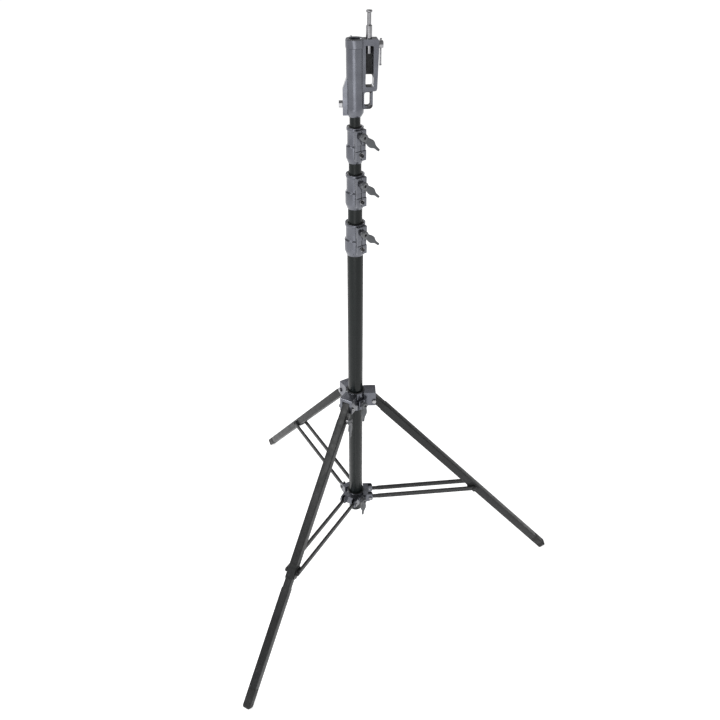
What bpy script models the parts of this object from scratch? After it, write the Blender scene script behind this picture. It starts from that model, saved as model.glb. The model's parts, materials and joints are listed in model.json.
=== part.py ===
"""Combo lighting stand: a three-riser steel column on a folding tripod base.

Built in metres with +Z up. The feet stand on z = 0 and the column's axis is the
vertical line x = COLUMN_X, y = 0. Each sub-part is one object; the empties mark
the joint axes that the moving pieces turn or slide on.
"""
import math

import bmesh
import bpy
from mathutils import Matrix

# ---- driving dimensions -------------------------------------------------------
COLUMN_X = -0.187954
FLOOR_SINK = 0.0070
GAP = 0.0003
ROUND_STEPS = 24
SMALL_STEPS = 12

# Column tubes, from the outer one to the innermost one.
TUBE_RADII = (0.0245, 0.0213, 0.0180, 0.0150)
TUBE_WALL = 0.0025
LIP_WIDTH = 0.0045
LIP_HEIGHT = 0.006
COLUMN_BOTTOM_Z = 0.271
PLUG_TOP_Z = 0.289

# Locking collars, numbered from the bottom: each sits on a tube and grips the next.
COLLAR_BOTTOMS = (1.356, 1.505, 1.641)
COLLAR_HEIGHTS = (0.104, 0.104, 0.101)
COLLAR_SEAT = 0.064
COLLAR_RIM = 0.0060
COLLAR_UPPER = 0.0036
COLLAR_LOWER = 0.0074
COLLAR_PAD_OUT = 0.013
COLLAR_PAD_HALF = 0.017
COLLAR_STUD_Z = 0.081
COLLAR_BOLT_Z = 0.028
COLLAR_AZIMUTH = math.radians(-57.0)
COLLAR_LEVER_TURN = math.radians(48.0)

# Lever screws, shared by the collars, the hubs and the levelling leg.
STUD_R = 0.004
STUD_HOLE_R = 0.0044
STUD_NUT_R = 0.0075
STUD_NUT_LENGTH = 0.007
STUD_TAIL = 0.004
BOSS_R = 0.011
BOSS_LENGTH = 0.010
LEVER_LENGTH = 0.066
LEVER_THICKNESS = 0.007

# Tripod geometry in each leg's own vertical plane: (distance from column, height).
LEG_AZIMUTHS = {"right": 0.0, "back": math.radians(120.0), "front": math.radians(-120.0)}
LEG_PIVOT = (0.0633, 0.799)
LEG_SLOPE = math.radians(48.27)
LEG_LENGTH = 1.0528
LEG_HALF = 0.0125
LEG_WALL = 0.0015
LEG_TOP = -0.014
FOOT_LENGTH = 0.068
FOOT_HALF = 0.0137
SLEEVE_HALF = 0.0133
SLEEVE_WALL = 0.001
SLEEVE_END = 0.605
LEVEL_LEG_HALF = 0.012
LEVEL_LEG_TOP = 0.008
LEVEL_LOCK_X = 0.042
LEVEL_BOSS_OUT = 0.004
LEVEL_NUT_LENGTH = 0.005
STRUT_PIVOT = (0.0548, 0.3356)
STRUT_AT = 0.5795
STRUT_OFFSET = 0.021
STRUT_WIDTH = 0.008
STRUT_HEIGHT = 0.014
BRACKET_LENGTH = 0.044
BRACKET_HALF = 0.0166

# Hubs.
HUB_R = 0.0315
UPPER_HUB_Z = (0.762, 0.836)
PLATE_BOTTOM_Z = 0.824
LOWER_HUB_Z = (0.314, 0.354)
BUSHING_SEAT_R = 0.0282
HUB_LEVER_AZIMUTH = math.radians(-57.0)
HUB_LEVER_TURN = math.radians(-10.0)
HUB_LUG_OUT = 0.042
UPPER_STUD_Z = 0.799
LOWER_STUD_Z = 0.335
CHEEK_HALF = 0.0225
BOLT_R = 0.004
PIN_R = 0.003
FORK_HALF = 0.0312
NEST_HALF = 0.0142
NEST_IN = 0.048

# Head casting with the receiver and the retracting spigot.
HEAD_Z = 1.770
HEAD_TOP_Z = 1.967
HEAD_R = 0.0233
RIM_R = 0.0249
RIM_Z = 1.946
RECEIVER_R = 0.0144
RECEIVER_DEPTH = 0.095
BLOCK_AZIMUTH = math.radians(6.0)
SPIGOT_X = 0.0365
SPIGOT_BORE_R = 0.0083
SPIGOT_R = 0.008
SPIGOT_Z = (1.930, 2.033)
BLOCK_OUT = 0.061
BLOCK_FOOT_OUT = 0.0575
BLOCK_HALF = 0.015
BRIDGE_Z = 1.951
RECESS_X = (0.0265, 0.047)
RECESS_BACK = 0.0095
WINDOW_X = (0.0262, 0.048)
WINDOW_Z = (1.848, 1.875)
WEB_BOTTOM_Z = 1.837
LOOP_X = (0.0236, 0.0407)
LOOP_Z = (1.797, 1.834)
LOOP_FLOOR_Z = 1.790
LOOP_OUT = 0.0468
LOOP_HALF = 0.010
SPIGOT_LOCK_Z = 1.951
RECEIVER_LOCK_Z = 1.945
RECEIVER_LOCK_AZIMUTH = math.radians(103.0)
RECEIVER_BOSS_OUT = 0.034
HEAD_BOLT_Z = 1.802
HEAD_LUG_OUT = 0.033

X_AXIS_TURN = (0.0, math.pi / 2, 0.0)
Y_AXIS_TURN = (-math.pi / 2, 0.0, 0.0)


# ---- scene helpers ------------------------------------------------------------
def clear_scene():
    for old in list(bpy.data.objects):
        bpy.data.objects.remove(old, do_unlink=True)


def make_collection(name):
    collection = bpy.data.collections.new(name)
    bpy.context.scene.collection.children.link(collection)
    return collection


def make_material(name, colour, roughness, metallic):
    material = bpy.data.materials.new(name)
    material.use_nodes = True
    shader = material.node_tree.nodes["Principled BSDF"]
    shader.inputs["Base Color"].default_value = (*colour, 1.0)
    shader.inputs["Roughness"].default_value = roughness
    shader.inputs["Metallic"].default_value = metallic
    return material


clear_scene()
PARTS = make_collection("combo_stand")
CUTTERS = make_collection("cutters")
CAST_PAINT = make_material("cast_paint", (0.135, 0.140, 0.165), 0.45, 0.35)
BLACK_TUBE = make_material("black_tube", (0.022, 0.026, 0.026), 0.30, 0.30)
LEG_PAINT = make_material("leg_paint", (0.040, 0.042, 0.044), 0.42, 0.25)
LEVER_PAINT = make_material("lever_paint", (0.075, 0.078, 0.085), 0.50, 0.20)
STEEL = make_material("steel", (0.55, 0.55, 0.57), 0.28, 1.0)
CHROME = make_material("chrome", (0.78, 0.78, 0.79), 0.10, 1.0)
RUBBER = make_material("rubber", (0.018, 0.018, 0.018), 0.75, 0.0)
BLACK_PLASTIC = make_material("black_plastic", (0.012, 0.012, 0.013), 0.40, 0.0)


def place(obj, parent=None, location=(0, 0, 0), rotation=(0, 0, 0)):
    obj.parent = parent
    obj.location = location
    obj.rotation_euler = rotation
    return obj


def empty(name, parent=None, location=(0, 0, 0), rotation=(0, 0, 0)):
    obj = bpy.data.objects.new(name, None)
    obj.empty_display_size = 0.03
    PARTS.objects.link(obj)
    return place(obj, parent, location, rotation)


def add_mesh(name, mesh, material):
    """Link a mesh as a part, or as a wire-drawn cutter when it has no material."""
    obj = bpy.data.objects.new(name, mesh)
    if material is None:
        CUTTERS.objects.link(obj)
        obj.hide_render = True
        obj.display_type = "WIRE"
    else:
        PARTS.objects.link(obj)
        mesh.materials.append(material)
    return obj


def settle(source, name, material):
    """Turn an object with modifiers, or a curve, into a plain welded mesh part."""
    graph = bpy.context.evaluated_depsgraph_get()
    mesh = bpy.data.meshes.new_from_object(source.evaluated_get(graph))
    mesh.materials.clear()
    work = bmesh.new()
    work.from_mesh(mesh)
    bmesh.ops.remove_doubles(work, verts=work.verts, dist=0.000002)
    work.to_mesh(mesh)
    work.free()
    mesh.name = name
    mesh.shade_smooth()
    mesh.set_sharp_from_angle(angle=math.radians(35.0))
    bpy.data.objects.remove(source, do_unlink=True)
    return add_mesh(name, mesh, material)


def turned(name, profile, material=None, steps=ROUND_STEPS, closed=False):
    """Turn a (radius, height) profile about Z; it runs down the outer side."""
    mesh = bpy.data.meshes.new(name + "_profile")
    points = [(radius, 0.0, height) for radius, height in profile]
    edges = [(i, i + 1) for i in range(len(points) - 1)]
    if closed:
        edges.append((len(points) - 1, 0))
    mesh.from_pydata(points, edges, [])
    source = bpy.data.objects.new(name + "_profile", mesh)
    CUTTERS.objects.link(source)
    screw = source.modifiers.new("turn", "SCREW")
    screw.steps = steps
    screw.render_steps = steps
    screw.use_merge_vertices = True
    screw.merge_threshold = 0.000005
    return settle(source, name, material)


def rod(name, radius, start, end, material=None, steps=SMALL_STEPS, edge=0.0):
    """A round bar along Z between two heights, with an optional edge chamfer."""
    if edge:
        profile = [(0, end), (radius - edge, end), (radius, end - edge)]
        profile += [(radius, start + edge), (radius - edge, start), (0, start)]
    else:
        profile = [(0, end), (radius, end), (radius, start), (0, start)]
    return turned(name, profile, material, steps)


def pipe(name, outer, inner, start, end, material=None, steps=ROUND_STEPS):
    profile = [(outer, end), (outer, start), (inner, start), (inner, end)]
    return turned(name, profile, material, steps, closed=True)


def block(name, low, high, material=None, bevel=0.0, segments=1):
    """A box between two corners, with optional rounded edges."""
    mesh = bpy.data.meshes.new(name)
    size = [b - a for a, b in zip(low, high)]
    centre = [(a + b) / 2 for a, b in zip(low, high)]
    work = bmesh.new()
    frame = Matrix.Translation(centre) @ Matrix.Diagonal((*size, 1.0))
    bmesh.ops.create_cube(work, size=1.0, matrix=frame)
    work.to_mesh(mesh)
    work.free()
    obj = add_mesh(name, mesh, material)
    if bevel:
        rounding = obj.modifiers.new("edges", "BEVEL")
        rounding.width = bevel
        rounding.segments = segments
    return obj


def plate(name, outline, half_thickness, material=None):
    """A flat outline of (x, y) points, thickened both ways along Z."""
    curve = bpy.data.curves.new(name + "_outline", "CURVE")
    curve.dimensions = "2D"
    curve.fill_mode = "BOTH"
    curve.extrude = half_thickness
    spline = curve.splines.new("POLY")
    spline.points.add(len(outline) - 1)
    for point, (x, y) in zip(spline.points, outline):
        point.co = (x, y, 0.0, 1.0)
    spline.use_cyclic_u = True
    source = bpy.data.objects.new(name + "_outline", curve)
    CUTTERS.objects.link(source)
    bpy.context.view_layer.update()
    return settle(source, name, material)


def arc(centre, radius, start, end, count):
    """Points along an arc from one angle to another, both in degrees."""
    points = []
    for i in range(count + 1):
        angle = math.radians(start + (end - start) * i / count)
        points.append((centre[0] + radius * math.cos(angle), centre[1] + radius * math.sin(angle)))
    return points


def combine(obj, tool, operation):
    """Join or cut with a tool object, which stays in the cutters collection."""
    step = obj.modifiers.new(operation.lower() + "_" + tool.name, "BOOLEAN")
    step.operation = operation
    step.object = tool
    step.solver = "EXACT"
    return obj


def join(obj, *tools):
    for tool in tools:
        combine(obj, tool, "UNION")
    return obj


def cut(obj, *tools):
    for tool in tools:
        combine(obj, tool, "DIFFERENCE")
    return obj


def upright(obj, parent, location=(0, 0, 0)):
    """Stand a plate drawn in its own XY plane up in the parent's XZ plane."""
    return place(obj, parent, location, (math.pi / 2, 0, 0))


# ---- column -------------------------------------------------------------------
def make_base_tube(axis):
    top = COLLAR_BOTTOMS[0] + COLLAR_SEAT
    outer = TUBE_RADII[0]
    tube = pipe("base_tube", outer, outer - TUBE_WALL, COLUMN_BOTTOM_Z, top, BLACK_TUBE)
    place(tube, axis)
    inner = outer - TUBE_WALL - 0.0006
    shoulder = COLUMN_BOTTOM_Z - GAP
    profile = [(0, PLUG_TOP_Z), (inner, PLUG_TOP_Z), (inner, shoulder), (outer, shoulder)]
    profile += [(outer, shoulder - 0.004), (outer - 0.004, shoulder - 0.008), (0, shoulder - 0.009)]
    cap = turned("base_end_cap", profile, BLACK_PLASTIC)
    place(cap, axis)
    nub = rod("cap_nub", 0.003, shoulder - 0.015, shoulder - 0.005)
    join(cap, place(nub, axis, (-0.004, -0.011, 0)))


def riser_bottom(number):
    """Each riser rests on the lip of the tube outside it; the first on the plug."""
    return PLUG_TOP_Z + GAP + (number - 1) * (LIP_HEIGHT + GAP)


def make_riser(number, top, parent):
    outer = TUBE_RADII[number]
    inner = outer - TUBE_WALL
    low = riser_bottom(number)
    profile = [(outer, top), (outer, low), (inner - LIP_WIDTH, low)]
    profile += [(inner - LIP_WIDTH, low + LIP_HEIGHT), (inner, low + LIP_HEIGHT), (inner, top)]
    name = "riser_%d_tube" % number
    return place(turned(name, profile, BLACK_TUBE, closed=True), parent)


def lever_outline():
    """Half the paddle runs down one side and back up the other."""
    half = [(0.0, 0.0080), (0.014, 0.0084), (0.024, 0.0106), (0.031, 0.0112), (0.038, 0.0096)]
    half += [(0.044, 0.0060), (0.050, 0.0042), (LEVER_LENGTH, 0.00375)]
    side = [(-width, -along) for along, width in half]
    other = [(width, -along) for along, width in reversed(half)]
    return side + other


def make_lever_screw(name, stud_reach, parent, location, rotation, turn=0.0,
                     nut_length=STUD_NUT_LENGTH):
    """A stud along the parent's X with a lever that hangs along -Z, turned about X.

    The location is the point where the stud leaves the face it is screwed into.
    """
    pivot = empty(name + "_axis", parent, location, rotation)
    nut = GAP + nut_length
    profile = [(0, nut + STUD_TAIL), (STUD_R, nut + STUD_TAIL), (STUD_R, nut)]
    profile += [(STUD_NUT_R - 0.001, nut), (STUD_NUT_R, nut - 0.001), (STUD_NUT_R, GAP + 0.001)]
    profile += [(STUD_NUT_R - 0.001, GAP), (STUD_R, GAP), (STUD_R, -stud_reach), (0, -stud_reach)]
    stud = turned(name + "_stud", profile, STEEL, SMALL_STEPS)
    place(stud, pivot, (0, 0, 0), X_AXIS_TURN)
    start = nut + GAP
    lever = rod(name + "_lever", BOSS_R, start, start + BOSS_LENGTH, LEVER_PAINT, 24, edge=0.0012)
    place(lever, pivot, (0, 0, 0), X_AXIS_TURN)
    paddle = plate(name + "_paddle", lever_outline(), LEVER_THICKNESS / 2)
    middle = start + BOSS_LENGTH / 2 + 0.001
    place(paddle, pivot, (middle, 0, 0))
    paddle.rotation_mode = "QUATERNION"
    flat = Matrix(((0, 0, 1), (1, 0, 0), (0, 1, 0)))
    paddle.rotation_quaternion = (Matrix.Rotation(turn, 3, "X") @ flat).to_quaternion()
    hole = rod(name + "_tail_hole", STUD_HOLE_R, start - 0.002, nut + STUD_TAIL + GAP)
    join(lever, paddle)
    cut(lever, place(hole, pivot, (0, 0, 0), X_AXIS_TURN))
    return pivot


def hex_bolt(name, reach, head, parent, location, rotation, shank=PIN_R, across=0.0065):
    """A bolt along its own Z: the head stands out past zero, the shank goes in."""
    bolt = rod(name, shank, -reach, GAP + head / 2, STEEL)
    place(bolt, parent, location, rotation)
    cap = rod(name + "_head", across, GAP, GAP + head, None, 6)
    return join(bolt, place(cap, parent, location, rotation))


def make_collar(number, parent):
    """A cast collar seated on one tube, gripping the next tube inside it."""
    low = COLLAR_BOTTOMS[number - 1]
    high = low + COLLAR_HEIGHTS[number - 1]
    middle = (low + high) / 2
    seat = TUBE_RADII[number - 1]
    grip = TUBE_RADII[number]
    rim = seat + COLLAR_RIM
    upper = seat + COLLAR_UPPER
    lower = seat + COLLAR_LOWER
    face = seat + COLLAR_PAD_OUT
    name = "collar_%d" % number
    profile = [(0, high), (rim - 0.002, high), (rim, high - 0.002), (rim, high - 0.008)]
    profile += [(upper, high - 0.010), (upper, middle + 0.0012), (lower, middle - 0.0012)]
    profile += [(lower, low + 0.015), (seat + 0.002, low), (0, low)]
    collar = place(turned(name, profile, CAST_PAINT), parent)
    turn = empty(name + "_face", parent, (0, 0, 0), (0, 0, COLLAR_AZIMUTH))
    half = COLLAR_PAD_HALF
    pad = block(name + "_pad", (0.009, -half, low + 0.0117), (face, half, high - 0.0032), None, 0.0015)
    seat_end = low + COLLAR_SEAT + 0.0005
    bore = [(0, high + 0.01), (grip + 0.0005, high + 0.01), (grip + 0.0005, seat_end)]
    bore += [(seat + 0.0004, seat_end), (seat + 0.0004, low - 0.01), (0, low - 0.01)]
    bore_tool = turned(name + "_bore", bore)
    stud_hole = rod(name + "_stud_hole", STUD_HOLE_R, grip - 0.004, face + 0.004)
    bolt_hole = rod(name + "_bolt_hole", PIN_R + 0.0004, seat - 0.004, face + 0.004)
    join(collar, place(pad, turn))
    cut(collar, place(bore_tool, parent))
    cut(collar, place(stud_hole, turn, (0, 0, low + COLLAR_STUD_Z), X_AXIS_TURN))
    cut(collar, place(bolt_hole, turn, (0, 0, low + COLLAR_BOLT_Z), X_AXIS_TURN))
    at = (face, 0, low + COLLAR_STUD_Z)
    make_lever_screw(name, face - grip - 0.001, turn, at, (0, 0, 0), COLLAR_LEVER_TURN)
    at = (face, 0, low + COLLAR_BOLT_Z)
    hex_bolt(name + "_fixing_bolt", face - seat - 0.0012, 0.005, turn, at, X_AXIS_TURN)


# ---- head ---------------------------------------------------------------------
def head_barrel():
    step = HEAD_Z + 0.023
    profile = [(0, HEAD_TOP_Z), (RIM_R - 0.001, HEAD_TOP_Z), (RIM_R, HEAD_TOP_Z - 0.001)]
    profile += [(RIM_R, RIM_Z), (HEAD_R, RIM_Z - 0.0012), (HEAD_R, step), (HEAD_R + 0.0006, step - 0.001)]
    profile += [(HEAD_R + 0.0006, HEAD_Z + 0.010), (0.0182, HEAD_Z), (0, HEAD_Z)]
    return turned("head_casting", profile, CAST_PAINT)


def rounded_hole(name, across, height, corner, half):
    """An upright cutter with rounded corners, through a span of X and of Z."""
    frame = arc((across[1] - corner, height[0] + corner), corner, -90, 0, 4)
    frame += arc((across[1] - corner, height[1] - corner), corner, 0, 90, 4)
    frame += arc((across[0] + corner, height[1] - corner), corner, 90, 180, 4)
    frame += arc((across[0] + corner, height[0] + corner), corner, 180, 270, 4)
    return plate(name, frame, half)


def make_head(parent):
    head = place(head_barrel(), parent)
    side = empty("block_turn", parent, (0, 0, 0), (0, 0, BLOCK_AZIMUTH))
    low = WEB_BOTTOM_Z
    top = HEAD_TOP_Z - 0.0006
    outline = [(0.018, low), (BLOCK_FOOT_OUT - 0.006, low)]
    outline += [(BLOCK_FOOT_OUT - 0.0015, low + 0.002), (BLOCK_FOOT_OUT, low + 0.007)]
    outline += [(BLOCK_OUT, top - 0.030), (BLOCK_OUT, top - 0.003), (BLOCK_OUT - 0.003, top), (0.018, top)]
    body = upright(plate("head_block", outline, BLOCK_HALF), side)
    ring = [(0.012, LOOP_FLOOR_Z), (LOOP_OUT - 0.010, LOOP_FLOOR_Z)]
    ring += arc((LOOP_OUT - 0.010, LOOP_FLOOR_Z + 0.010), 0.010, -90, 0, 5)[1:]
    ring += [(LOOP_OUT, low + 0.003), (0.012, low + 0.003)]
    loop = upright(plate("head_loop", ring, LOOP_HALF), side)
    ear = [(-HEAD_LUG_OUT, 1.7745), (-0.010, 1.7745), (-0.010, 1.869), (-HEAD_R, 1.869)]
    ear += [(-HEAD_LUG_OUT, 1.842)]
    lug = upright(plate("head_lug", ear, 0.0115), parent)
    back = empty("receiver_lock_face", parent, (0, 0, 0), (0, 0, RECEIVER_LOCK_AZIMUTH))
    boss = rod("receiver_boss", 0.0095, 0.018, RECEIVER_BOSS_OUT, None, 24)
    place(boss, back, (0, 0, RECEIVER_LOCK_Z), X_AXIS_TURN)
    join(head, body, loop, lug, boss)

    floor_z = HEAD_TOP_Z - RECEIVER_DEPTH
    bore = [(0, HEAD_TOP_Z + 0.002), (0.0185, HEAD_TOP_Z + 0.002), (RECEIVER_R, HEAD_TOP_Z - 0.0021)]
    bore += [(RECEIVER_R, floor_z), (0, floor_z)]
    socket = rod("riser_socket", TUBE_RADII[3] + GAP, HEAD_Z - 0.01, HEAD_Z + 0.0885, None, ROUND_STEPS)
    cut(head, place(turned("receiver_bore", bore), parent), place(socket, parent))
    pin_bore = rod("spigot_bore", SPIGOT_BORE_R, BRIDGE_Z - 0.004, HEAD_TOP_Z + 0.01, None, 24)
    recess = block("spigot_recess", (RECESS_X[0], -0.03, WINDOW_Z[1] - 0.008),
                   (RECESS_X[1], RECESS_BACK, BRIDGE_Z))
    window = rounded_hole("push_window", WINDOW_X, WINDOW_Z, 0.005, 0.03)
    finger = rounded_hole("finger_hole", LOOP_X, LOOP_Z, 0.006, 0.03)
    lock = rod("spigot_lock_hole", 0.0054, SPIGOT_X, BLOCK_OUT + 0.005)
    cut(head, place(pin_bore, side, (SPIGOT_X, 0, 0)), place(recess, side))
    cut(head, upright(window, side), upright(finger, side))
    cut(head, place(lock, side, (0, 0, SPIGOT_LOCK_Z), X_AXIS_TURN))
    rear = rod("receiver_lock_hole", 0.0054, 0.005, RECEIVER_BOSS_OUT + 0.005)
    bolt_hole = rod("head_bolt_hole", 0.0054, 0.010, HEAD_LUG_OUT + 0.005)
    cut(head, place(rear, back, (0, 0, RECEIVER_LOCK_Z), X_AXIS_TURN))
    cut(head, place(bolt_hole, parent, (0, 0, HEAD_BOLT_Z), (0, -math.pi / 2, 0)))

    at = (-HEAD_LUG_OUT, 0, HEAD_BOLT_Z)
    reach = HEAD_LUG_OUT - TUBE_RADII[3] - 0.001
    hex_bolt("head_fixing_bolt", reach, 0.0102, parent, at, (0, -math.pi / 2, 0), 0.005, 0.0101)
    make_tommy_screw("spigot_lock", side, BLOCK_OUT, SPIGOT_X + SPIGOT_R + 0.0006, SPIGOT_LOCK_Z, 0.0155)
    make_tommy_screw("receiver_lock", back, RECEIVER_BOSS_OUT, RECEIVER_R + 0.0006,
                     RECEIVER_LOCK_Z, 0.021)
    make_spigot(side)


def make_tommy_screw(name, parent, face, tip, height, top):
    """A screw along the parent's X with a sliding cross bar through its head."""
    pivot = empty(name + "_axis", parent, (face, 0, height))
    knob = (GAP, 0.0123)
    radius = 0.0095
    profile = [(0, knob[1]), (radius - 0.001, knob[1]), (radius, knob[1] - 0.001)]
    profile += [(radius, knob[0] + 0.001), (radius - 0.001, knob[0]), (0.005, knob[0])]
    profile += [(0.005, tip - face), (0, tip - face)]
    screw = turned(name + "_screw", profile, STEEL, 24)
    place(screw, pivot, (0, 0, 0), X_AXIS_TURN)
    middle = (knob[0] + knob[1]) / 2
    hole = rod(name + "_bar_hole", 0.0028, -0.015, 0.015)
    cut(screw, place(hole, pivot, (middle, 0, 0)))
    ball = 0.0035
    length = 0.0685
    profile = [(0, top), (ball * 0.7, top - 0.0008), (ball, top - 0.0026), (ball * 0.75, top - 0.0046)]
    profile += [(0.0025, top - 0.0052), (0.0025, top - length + 0.0052)]
    profile += [(ball * 0.75, top - length + 0.0046), (ball, top - length + 0.0026)]
    profile += [(ball * 0.7, top - length + 0.0008), (0, top - length)]
    place(turned(name + "_bar", profile, STEEL, 12), pivot, (middle, 0, 0))


def make_spigot(parent):
    """The retracting pin, with a waisted neck under its flange."""
    low, high = SPIGOT_Z
    neck = 0.0053
    profile = [(0, high), (SPIGOT_R - 0.001, high), (SPIGOT_R, high - 0.001)]
    profile += [(SPIGOT_R, high - 0.0045), (neck, high - 0.0060), (neck, high - 0.034)]
    profile += [(SPIGOT_R, high - 0.036), (SPIGOT_R, low + 0.0015), (SPIGOT_R - 0.0015, low), (0, low)]
    slide = empty("spigot_axis", parent, (SPIGOT_X, 0, 0))
    place(turned("spigot_pin", profile, CHROME, 24), slide)


# ---- tripod -------------------------------------------------------------------
def leg_half(side):
    return SLEEVE_HALF if side == "front" else LEG_HALF


def make_upper_hub(axis):
    low, high = UPPER_HUB_Z
    profile = [(0, high), (HUB_R - 0.001, high), (HUB_R, high - 0.001), (HUB_R, low + 0.003)]
    profile += [(HUB_R - 0.003, low), (0, low)]
    hub = place(turned("upper_hub", profile, CAST_PAINT), axis)
    top = high - 0.0006
    cheek = [(0.0275, top), (0.068, top), (0.069, top - 0.001), (0.069, 0.7825)]
    cheek += [(0.0665, 0.780), (0.040, 0.780), (0.0275, 0.770)]
    pivot_r, pivot_z = LEG_PIVOT
    for side, azimuth in LEG_AZIMUTHS.items():
        arm = empty("upper_arm_" + side, axis, (0, 0, 0), (0, 0, azimuth))
        join(hub, upright(plate("upper_cheek_" + side, cheek, CHEEK_HALF), arm))
    lug_turn = empty("upper_lug", axis, (0, 0, 0), (0, 0, HUB_LEVER_AZIMUTH))
    lug = block("upper_lug_pad", (0.02, -0.012, UPPER_STUD_Z - 0.013),
                (HUB_LUG_OUT, 0.012, UPPER_STUD_Z + 0.013), None, 0.002)
    join(hub, place(lug, lug_turn))
    for side, azimuth in LEG_AZIMUTHS.items():
        arm = bpy.data.objects["upper_arm_" + side]
        half = leg_half(side) + 0.0004
        slot = block("upper_slot_" + side, (0.0425, -half, 0.70), (0.09, half, PLATE_BOTTOM_Z))
        hole = rod("upper_hole_" + side, BOLT_R + GAP, -0.04, 0.04)
        cut(hub, place(slot, arm))
        cut(hub, place(hole, arm, (pivot_r, 0, pivot_z), Y_AXIS_TURN))
        make_leg_bolt(side, arm)
    seat = rod("upper_seat", BUSHING_SEAT_R, low - 0.01, high + 0.01, None, ROUND_STEPS)
    hole = rod("upper_stud_hole", STUD_HOLE_R, 0.015, HUB_LUG_OUT + 0.01)
    cut(hub, place(seat, axis))
    cut(hub, place(hole, lug_turn, (0, 0, UPPER_STUD_Z), X_AXIS_TURN))
    make_bushing("upper_hub_bushing", low, high, UPPER_STUD_Z, axis, lug_turn)
    reach = HUB_LUG_OUT - TUBE_RADII[0] - 0.001
    make_lever_screw("upper_hub", reach, lug_turn, (HUB_LUG_OUT, 0, UPPER_STUD_Z), (0, 0, 0),
                     HUB_LEVER_TURN)


def make_bushing(name, low, high, stud_z, axis, lug_turn):
    """A flanged sleeve between a hub and the column, pierced for the lever's stud."""
    inner = TUBE_RADII[0] + 0.0005
    outer = BUSHING_SEAT_R - GAP
    flange = outer + 0.0025
    top = high + GAP + 0.0035
    profile = [(flange - 0.001, top), (flange, top - 0.001), (flange, high + GAP), (outer, high + GAP)]
    profile += [(outer, low + 0.001), (inner, low + 0.001), (inner, top)]
    bushing = place(turned(name, profile, BLACK_PLASTIC, closed=True), axis)
    hole = rod(name + "_hole", STUD_HOLE_R, 0.015, 0.035)
    cut(bushing, place(hole, lug_turn, (0, 0, stud_z), X_AXIS_TURN))


def make_leg_bolt(side, arm):
    pivot_r, pivot_z = LEG_PIVOT
    name = "leg_bolt_" + side
    at = (pivot_r, 0, pivot_z)
    reach = CHEEK_HALF + GAP
    bolt = rod(name, BOLT_R, -reach - 0.004, reach + 0.004, STEEL)
    place(bolt, arm, at, Y_AXIS_TURN)
    for end, sign in (("head", -1), ("nut", 1)):
        start = min(sign * reach, sign * (reach + 0.005))
        hexagon = rod(name + "_" + end, 0.0075, start, start + 0.005, None, 6)
        join(bolt, place(hexagon, arm, at, Y_AXIS_TURN))


def make_lower_hub(axis):
    low, high = LOWER_HUB_Z
    profile = [(0, high), (HUB_R - 0.001, high), (HUB_R, high - 0.001), (HUB_R, low + 0.003)]
    profile += [(HUB_R - 0.003, low), (0, low)]
    hub = place(turned("lower_hub", profile, CAST_PAINT), axis)
    pivot_r, pivot_z = STRUT_PIVOT
    top = high - 0.0006
    ear = [(0.0275, low + 0.0008), (0.050, low + 0.006), (0.0640, low + 0.013)]
    ear += [(0.0640, top - 0.007), (0.0600, top), (0.0275, top)]
    for side, azimuth in LEG_AZIMUTHS.items():
        arm = empty("lower_arm_" + side, axis, (0, 0, 0), (0, 0, azimuth))
        join(hub, upright(plate("lower_ear_" + side, ear, FORK_HALF), arm))
    lug_turn = empty("lower_lug", axis, (0, 0, 0), (0, 0, HUB_LEVER_AZIMUTH))
    lug = block("lower_lug_pad", (0.02, -0.011, LOWER_STUD_Z - 0.012),
                (HUB_LUG_OUT, 0.011, LOWER_STUD_Z + 0.012), None, 0.002)
    join(hub, place(lug, lug_turn))
    strut_in = STRUT_OFFSET - STRUT_WIDTH / 2 - 0.0004
    strut_out = STRUT_OFFSET + STRUT_WIDTH / 2 + 0.0004
    for side in LEG_AZIMUTHS:
        arm = bpy.data.objects["lower_arm_" + side]
        nest = block("lower_nest_" + side, (NEST_IN, -NEST_HALF, 0.25), (0.09, NEST_HALF, 0.40))
        left = block("lower_slot_a_" + side, (0.0468, strut_in, 0.25), (0.09, strut_out, 0.40))
        right = block("lower_slot_b_" + side, (0.0468, -strut_out, 0.25), (0.09, -strut_in, 0.40))
        hole = rod("lower_hole_" + side, PIN_R + 0.0004, -0.04, 0.04)
        cut(hub, place(nest, arm), place(left, arm), place(right, arm))
        cut(hub, place(hole, arm, (pivot_r, 0, pivot_z), Y_AXIS_TURN))
        for letter, sign in (("a", 1), ("b", -1)):
            make_strut_pin(side, letter, sign, arm)
    seat = rod("lower_seat", BUSHING_SEAT_R, low - 0.01, high + 0.01, None, ROUND_STEPS)
    hole = rod("lower_stud_hole", STUD_HOLE_R, 0.015, HUB_LUG_OUT + 0.01)
    cut(hub, place(seat, axis))
    cut(hub, place(hole, lug_turn, (0, 0, LOWER_STUD_Z), X_AXIS_TURN))
    make_bushing("lower_hub_bushing", low, high, LOWER_STUD_Z, axis, lug_turn)
    reach = HUB_LUG_OUT - TUBE_RADII[0] - 0.001
    make_lever_screw("lower_hub", reach, lug_turn, (HUB_LUG_OUT, 0, LOWER_STUD_Z), (0, 0, 0),
                     HUB_LEVER_TURN)


def make_strut_pin(side, letter, sign, arm):
    """A headed pin through one fork; its inner end stops short of the leg's nest."""
    reach = FORK_HALF - NEST_HALF - GAP
    at = (STRUT_PIVOT[0], sign * FORK_HALF, STRUT_PIVOT[1])
    rotation = (-sign * math.pi / 2, 0, 0)
    name = "strut_pin_%s_%s" % (side, letter)
    hex_bolt(name, reach, 0.0035, arm, at, rotation, PIN_R, 0.0058)


def square_tube(name, start, end, half, wall, material):
    tube = block(name, (start, -half, -half), (end, half, half), material, 0.0015, 2)
    inside = half - wall
    hollow = block(name + "_hollow", (start - 0.01, -inside, -inside), (end + 0.01, inside, inside))
    return tube, hollow


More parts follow.
